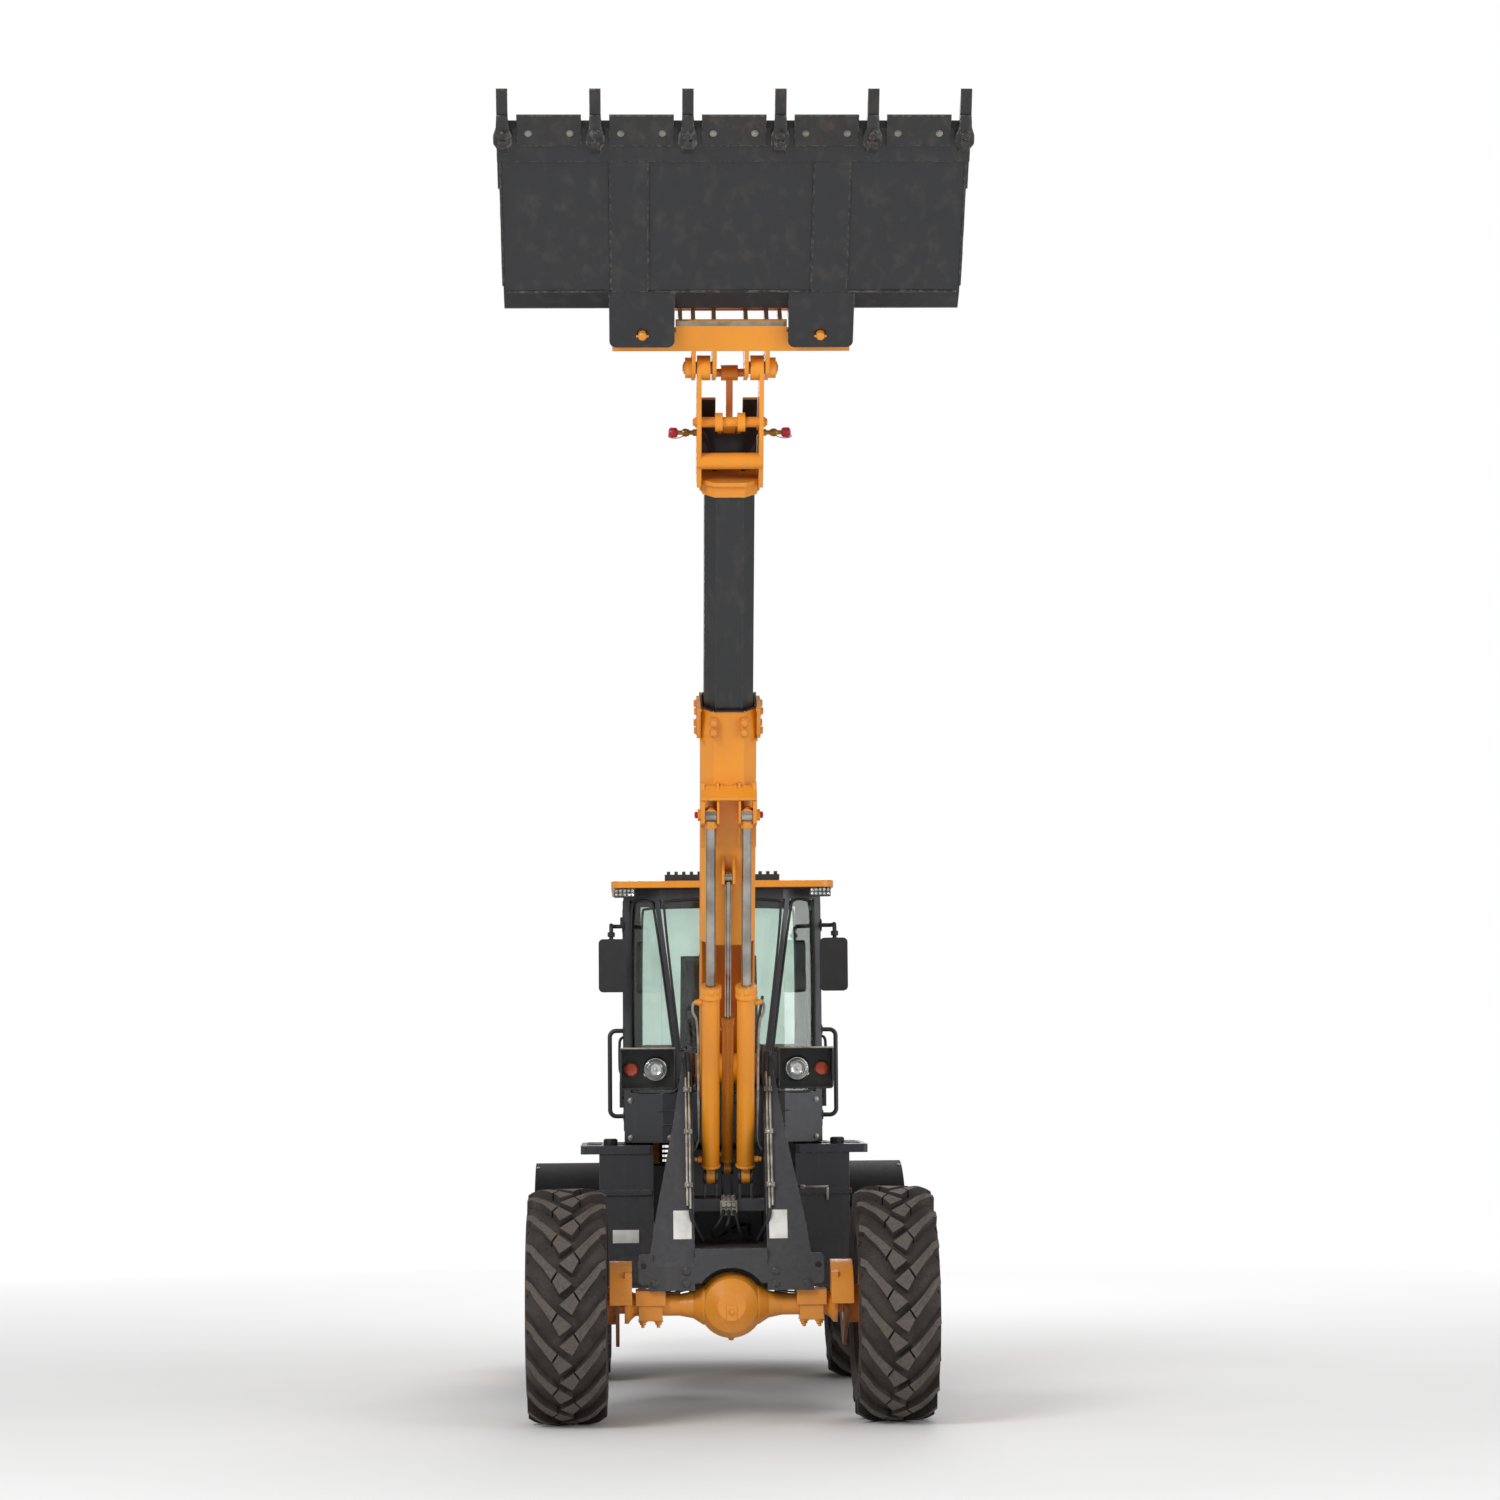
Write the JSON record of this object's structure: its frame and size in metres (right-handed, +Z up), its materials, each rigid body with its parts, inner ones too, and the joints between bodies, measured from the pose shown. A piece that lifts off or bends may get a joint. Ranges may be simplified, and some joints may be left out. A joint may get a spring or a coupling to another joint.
{
  "type": "telescopic loader",
  "caption": "Articulated telescopic wheel loader: raised telescoping boom, toothed bucket on a quick coupler, glazed cab, rear engine hood and big lugged tyres.",
  "frame": {"origin": "on the floor under the middle of the whole machine's length, in its centre plane", "axes": "+Z up, -Y towards the front of the machine, +X towards the driver's left"},
  "size_m": [2.2058, 6.5254, 6.2278],
  "materials": {
    "amber_paint": "satin",
    "graphite_paint": "satin",
    "black_steel": "satin",
    "rod_chrome": "polished",
    "tyre_rubber": "matte",
    "cast_grey": "matte",
    "tinted_glass": "polished",
    "clear_lens": "polished",
    "amber_lens": "gloss",
    "red_lens": "gloss",
    "black_plastic": "matte",
    "seat_fabric": "matte",
    "steel": "satin"
  },
  "bodies": {
    "chassis": {"rear_frame": "graphite_paint", "rear_axle": "amber_paint", "engine_block": "cast_grey", "exhaust_pipe": "steel", "counterweight": "graphite_paint", "tow_hitch": "graphite_paint", "rear_lamps": "red_lens", "rear_fenders": "black_plastic", "side_box_left": "graphite_paint", "side_box_right": "graphite_paint", "tank_caps": "black_plastic", "cab_frame": "graphite_paint", "cab_glass": "tinted_glass", "cab_roof": "amber_paint", "roof_grille": "black_plastic", "work_lamps": "black_plastic", "mirrors": "black_plastic", "grab_rails": "black_steel", "seat_base": "black_plastic", "seat_cushion": "seat_fabric", "console": "black_plastic", "steering_wheel": "black_plastic"},
    "hood": {"hood": "amber_paint", "hood_grille": "black_steel"},
    "door_left": {"door_left": "graphite_paint", "door_glass_left": "tinted_glass"},
    "door_right": {"door_right": "graphite_paint", "door_glass_right": "tinted_glass"},
    "front_body": {"front_frame": "graphite_paint", "front_axle": "amber_paint", "valve_block": "steel", "tower_pipes": "steel", "lamp_housings": "black_plastic", "headlamp_lenses": "clear_lens", "indicator_lenses": "amber_lens"},
    "steer_barrel_left": {"steer_barrel_left": "graphite_paint"},
    "steer_rod_left": {"steer_rod_left": "rod_chrome"},
    "steer_barrel_right": {"steer_barrel_right": "graphite_paint"},
    "steer_rod_right": {"steer_rod_right": "rod_chrome"},
    "boom_outer": {"boom_outer": "amber_paint"},
    "boom_inner": {"boom_inner": "graphite_paint", "boom_head": "amber_paint"},
    "lift_barrels": {"lift_barrels": "amber_paint"},
    "lift_rods": {"lift_rods": "rod_chrome"},
    "level_barrel": {"level_barrel": "amber_paint"},
    "level_rod": {"level_rod": "rod_chrome"},
    "bellcrank": {"bellcrank": "amber_paint"},
    "tilt_link": {"tilt_link": "amber_paint"},
    "tool": {"coupler": "amber_paint", "bucket": "graphite_paint", "bucket_teeth": "steel"},
    "wheel_front_left": {"tyre_front_left": "tyre_rubber", "rim_front_left": "amber_paint"},
    "wheel_front_right": {"tyre_front_right": "tyre_rubber", "rim_front_right": "amber_paint"},
    "wheel_rear_left": {"tyre_rear_left": "tyre_rubber", "rim_rear_left": "amber_paint"},
    "wheel_rear_right": {"tyre_rear_right": "tyre_rubber", "rim_rear_right": "amber_paint"}
  },
  "joints": [
    {"name": "steering", "type": "hinge", "parent": "chassis", "child": "front_body", "pos_m": [0, 0.32266, 0.7315], "axis": [0, 0, 1], "range_deg": [-40, 40]},
    {"name": "boom_lift", "type": "hinge", "parent": "front_body", "child": "boom_outer", "pos_m": [0, -0.42734, 1.77], "axis": [-1, 0, 0], "range_deg": [-95, 2]},
    {"name": "telescope", "type": "slide", "parent": "boom_outer", "child": "boom_inner", "axis": [0, -0.4384, 0.8988], "range_m": [-1.1, 0]},
    {"name": "bucket_tilt", "type": "hinge", "parent": "boom_inner", "child": "tool", "pos_m": [0, -2.20319, 5.13731], "axis": [1, 0, 0], "range_deg": [-45, 92]},
    {"name": "bellcrank_swing", "type": "hinge", "parent": "boom_inner", "child": "bellcrank", "pos_m": [0, -2.08439, 4.89373], "axis": [1, 0, 0], "range_deg": [-46, 93]},
    {"name": "tilt_link_swing", "type": "hinge", "parent": "bellcrank", "child": "tilt_link", "pos_m": [0, -1.91556, 4.90111], "axis": [1, 0, 0], "range_deg": [-93, 46]},
    {"name": "lift_barrel_swing", "type": "hinge", "parent": "front_body", "child": "lift_barrels", "pos_m": [0, -0.57734, 1.215], "axis": [-1, 0, 0], "range_deg": [-91.7, 2.91]},
    {"name": "lift_rod_slide", "type": "slide", "parent": "lift_barrels", "child": "lift_rods", "axis": [0, -0.3693, 0.9293], "range_m": [-0.84338, 0.02069]},
    {"name": "level_barrel_swing", "type": "hinge", "parent": "front_body", "child": "level_barrel", "pos_m": [0, -0.42734, 1.25], "axis": [-1, 0, 0], "range_deg": [-82.13, 2.71]},
    {"name": "level_rod_slide", "type": "slide", "parent": "level_barrel", "child": "level_rod", "axis": [0, -0.4286, 0.9035], "range_m": [-0.70832, 0.01785]},
    {"name": "steer_barrel_swing_left", "type": "hinge", "parent": "chassis", "child": "steer_barrel_left", "pos_m": [0.34, 1.07266, 0.52], "axis": [0, 0, 1], "range_deg": [-4.4, 4.4]},
    {"name": "steer_rod_slide_left", "type": "slide", "parent": "steer_barrel_left", "child": "steer_rod_left", "axis": [-0.0916, -0.9958, 0], "range_m": [-0.18026, 0.18026]},
    {"name": "steer_barrel_swing_right", "type": "hinge", "parent": "chassis", "child": "steer_barrel_right", "pos_m": [-0.34, 1.07266, 0.52], "axis": [0, 0, 1], "range_deg": [-4.4, 4.4]},
    {"name": "steer_rod_slide_right", "type": "slide", "parent": "steer_barrel_right", "child": "steer_rod_right", "axis": [0.0916, -0.9958, 0], "range_m": [-0.18026, 0.18026]},
    {"name": "wheel_spin_front_left", "type": "hinge", "parent": "front_body", "child": "wheel_front_left", "pos_m": [0.8225, -0.97734, 0.5875], "axis": [1, 0, 0], "continuous": true},
    {"name": "wheel_spin_front_right", "type": "hinge", "parent": "front_body", "child": "wheel_front_right", "pos_m": [-0.8225, -0.97734, 0.5875], "axis": [1, 0, 0], "continuous": true},
    {"name": "wheel_spin_rear_left", "type": "hinge", "parent": "chassis", "child": "wheel_rear_left", "pos_m": [0.8225, 1.62266, 0.5875], "axis": [1, 0, 0], "continuous": true},
    {"name": "wheel_spin_rear_right", "type": "hinge", "parent": "chassis", "child": "wheel_rear_right", "pos_m": [-0.8225, 1.62266, 0.5875], "axis": [1, 0, 0], "continuous": true},
    {"name": "door_hinge_left", "type": "hinge", "parent": "chassis", "child": "door_left", "pos_m": [0.547, 1.15066, 2.05], "axis": [0, 0, 1], "range_deg": [0, 85]},
    {"name": "door_hinge_right", "type": "hinge", "parent": "chassis", "child": "door_right", "pos_m": [-0.547, 1.15066, 2.05], "axis": [0, 0, -1], "range_deg": [0, 85]},
    {"name": "hood_hinge", "type": "hinge", "parent": "chassis", "child": "hood", "pos_m": [0, 1.30866, 1.88], "axis": [1, 0, 0], "range_deg": [0, 60]}
  ],
  "couplings": [
    {"joint": "bellcrank_swing", "follows": "bucket_tilt", "ratio": 1},
    {"joint": "tilt_link_swing", "follows": "bucket_tilt", "ratio": -1},
    {"joint": "lift_barrel_swing", "follows": "boom_lift", "ratio": 0.95474},
    {"joint": "lift_rod_slide", "follows": "boom_lift", "m_per_rad": 0.50685},
    {"joint": "level_barrel_swing", "follows": "boom_lift", "ratio": 0.85405},
    {"joint": "level_rod_slide", "follows": "boom_lift", "m_per_rad": 0.42539},
    {"joint": "steer_barrel_swing_left", "follows": "steering", "ratio": 0.08496},
    {"joint": "steer_rod_slide_left", "follows": "steering", "m_per_rad": -0.25391},
    {"joint": "steer_barrel_swing_right", "follows": "steering", "ratio": 0.08496},
    {"joint": "steer_rod_slide_right", "follows": "steering", "m_per_rad": 0.25391}
  ]
}
